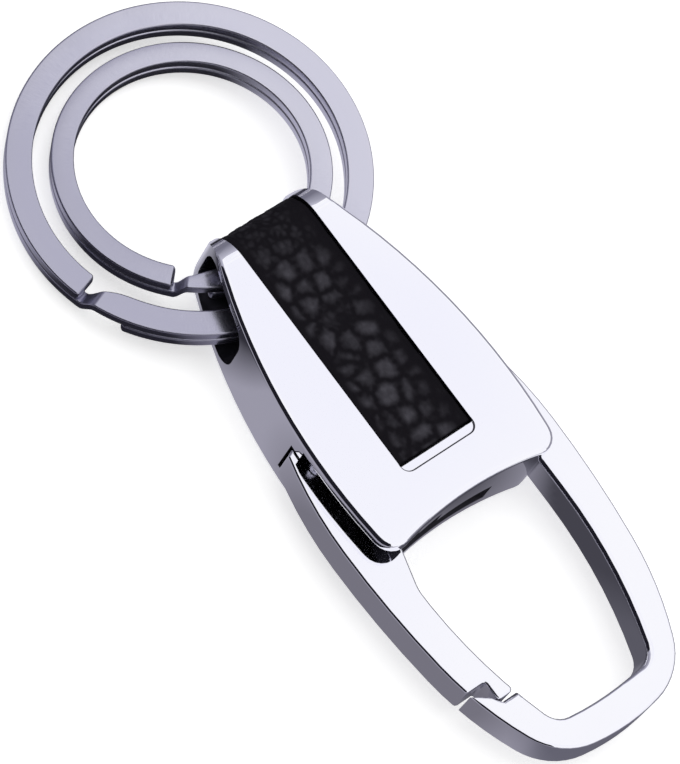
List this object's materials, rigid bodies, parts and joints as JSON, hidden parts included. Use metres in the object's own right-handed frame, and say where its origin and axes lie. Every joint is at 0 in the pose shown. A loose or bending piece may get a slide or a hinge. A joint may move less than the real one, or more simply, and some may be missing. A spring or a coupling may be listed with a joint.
{
  "type": "leather keychain",
  "caption": "Cast chrome keychain with a leather strip, a carabiner hook with a sprung gate, and a large and a small split ring through a slot in its narrow end.",
  "frame": {"origin": "on the plane the keychain lies on, under the middle of its bounding box", "axes": "+Y from the hook towards the rings, +X to the right seen from the front, +Z out of the front face, away from the plane it lies on"},
  "size_m": [0.035, 0.084, 0.0093],
  "materials": {
    "polished_chrome": "polished",
    "plated_steel": "plated and tumbled",
    "spring_steel": "drawn wire",
    "black_leather": "pebbled, painted edges"
  },
  "bodies": {
    "casting": {"body_shell": "polished_chrome", "back_cover": "polished_chrome", "cover_screw_upper": "plated_steel", "cover_screw_lower": "plated_steel", "leather_strip": "black_leather", "gate_pin": "plated_steel", "gate_spring": "spring_steel"},
    "gate_arm": {"gate": "polished_chrome"},
    "large_split_ring": {"large_ring": "plated_steel"},
    "small_split_ring": {"small_ring": "plated_steel"}
  },
  "joints": [
    {"name": "gate_hinge", "type": "hinge", "parent": "casting", "child": "gate_arm", "pos_m": [-0.00847, -0.00627, 0.0045], "axis": [0, 0, 1], "range_deg": [0, 25], "stiffness_Nm_per_rad": 0.024, "springref_deg": -28.65, "deforming": ["gate_spring"]},
    {"name": "large_ring_swing", "type": "hinge", "parent": "casting", "child": "large_split_ring", "pos_m": [0.00063, 0.00923, 0.00465], "axis": [1, 0, 0], "range_deg": [-20, 30]},
    {"name": "small_ring_swing", "type": "hinge", "parent": "casting", "child": "small_split_ring", "pos_m": [0.00063, 0.01332, 0.00465], "axis": [1, 0, 0], "range_deg": [-45, 60]}
  ]
}
